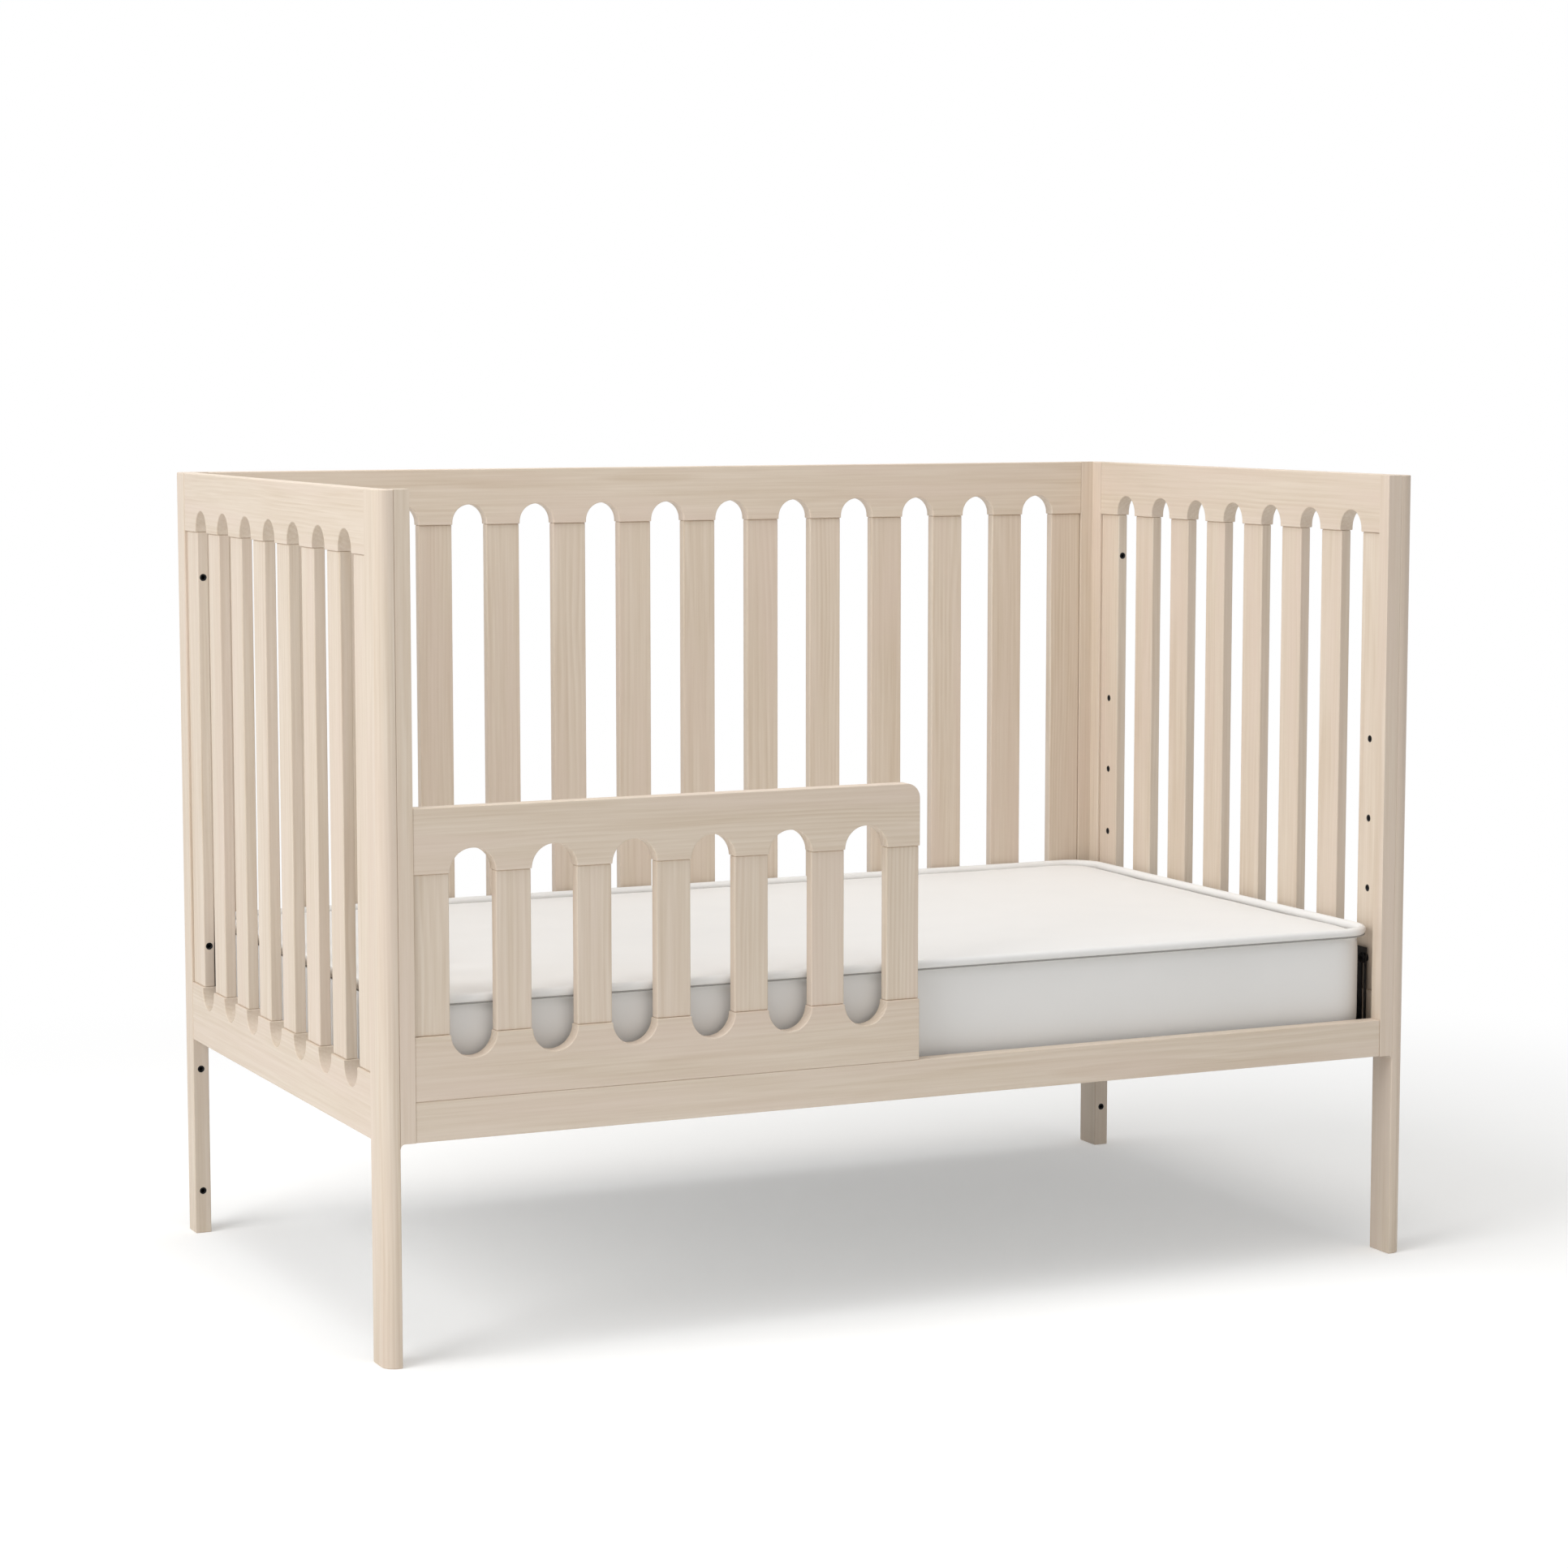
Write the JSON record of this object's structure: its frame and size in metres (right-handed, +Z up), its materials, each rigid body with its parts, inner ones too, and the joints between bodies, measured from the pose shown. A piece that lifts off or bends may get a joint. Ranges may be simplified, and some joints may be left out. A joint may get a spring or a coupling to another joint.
{
  "type": "baby crib",
  "caption": "Pale wooden crib set up as a toddler bed: slatted ends and back with arched rails, a half-length guard rail, a low front bar and a fitted white mattress.",
  "frame": {"origin": "on the floor, at the middle of the crib's length and width", "axes": "+X along the crib to its right end, as seen from the front; the front faces -Y; +Z up"},
  "size_m": [1.37, 0.8, 0.993],
  "materials": {
    "pale_pine": "pale washed softwood with a matt clear coat",
    "beech_dowel": "raw fluted dowel",
    "mattress_cover": "smooth white cover with a piped edge",
    "black_steel": "black coated steel",
    "zinc_wire": "bright zinc-plated steel",
    "zinc_casting": "die-cast zinc alloy"
  },
  "bodies": {
    "crib": {"left_front_leg": "pale_pine", "left_back_leg": "pale_pine", "right_front_leg": "pale_pine", "right_back_leg": "pale_pine", "left_top_rail": "pale_pine", "left_lower_rail": "pale_pine", "right_top_rail": "pale_pine", "right_lower_rail": "pale_pine", "left_slat_1": "pale_pine", "left_slat_2": "pale_pine", "left_slat_3": "pale_pine", "left_slat_4": "pale_pine", "left_slat_5": "pale_pine", "left_slat_6": "pale_pine", "left_slat_7": "pale_pine", "left_slat_8": "pale_pine", "right_slat_1": "pale_pine", "right_slat_2": "pale_pine", "right_slat_3": "pale_pine", "right_slat_4": "pale_pine", "right_slat_5": "pale_pine", "right_slat_6": "pale_pine", "right_slat_7": "pale_pine", "right_slat_8": "pale_pine", "back_top_rail": "pale_pine", "back_lower_rail": "pale_pine", "back_slat_1": "pale_pine", "back_slat_2": "pale_pine", "back_slat_3": "pale_pine", "back_slat_4": "pale_pine", "back_slat_5": "pale_pine", "back_slat_6": "pale_pine", "back_slat_7": "pale_pine", "back_slat_8": "pale_pine", "back_slat_9": "pale_pine", "back_slat_10": "pale_pine", "back_slat_11": "pale_pine", "back_slat_12": "pale_pine", "back_slat_13": "pale_pine", "back_slat_14": "pale_pine", "front_bar": "pale_pine", "guard_lower_rail": "pale_pine", "guard_top_rail": "pale_pine", "guard_slat_1": "pale_pine", "guard_slat_2": "pale_pine", "guard_slat_3": "pale_pine", "guard_slat_4": "pale_pine", "guard_slat_5": "pale_pine", "guard_slat_6": "pale_pine", "guard_slat_7": "pale_pine", "support_bolts": "black_steel", "threaded_inserts": "black_steel", "cam_discs": "zinc_casting", "cam_pins": "zinc_wire", "rail_dowels": "beech_dowel", "guard_screws": "zinc_wire"},
    "mattress_support": {"support_frame": "black_steel", "support_deck": "zinc_wire", "support_brackets": "black_steel"},
    "mattress": {"mattress": "mattress_cover"}
  },
  "joints": [
    {"name": "support_height", "type": "slide", "parent": "crib", "child": "mattress_support", "axis": [0, 0, 1], "range_m": [0, 0.282]},
    {"name": "mattress_lift", "type": "slide", "parent": "mattress_support", "child": "mattress", "axis": [0, 0, 1], "range_m": [0, 0.75]}
  ]
}
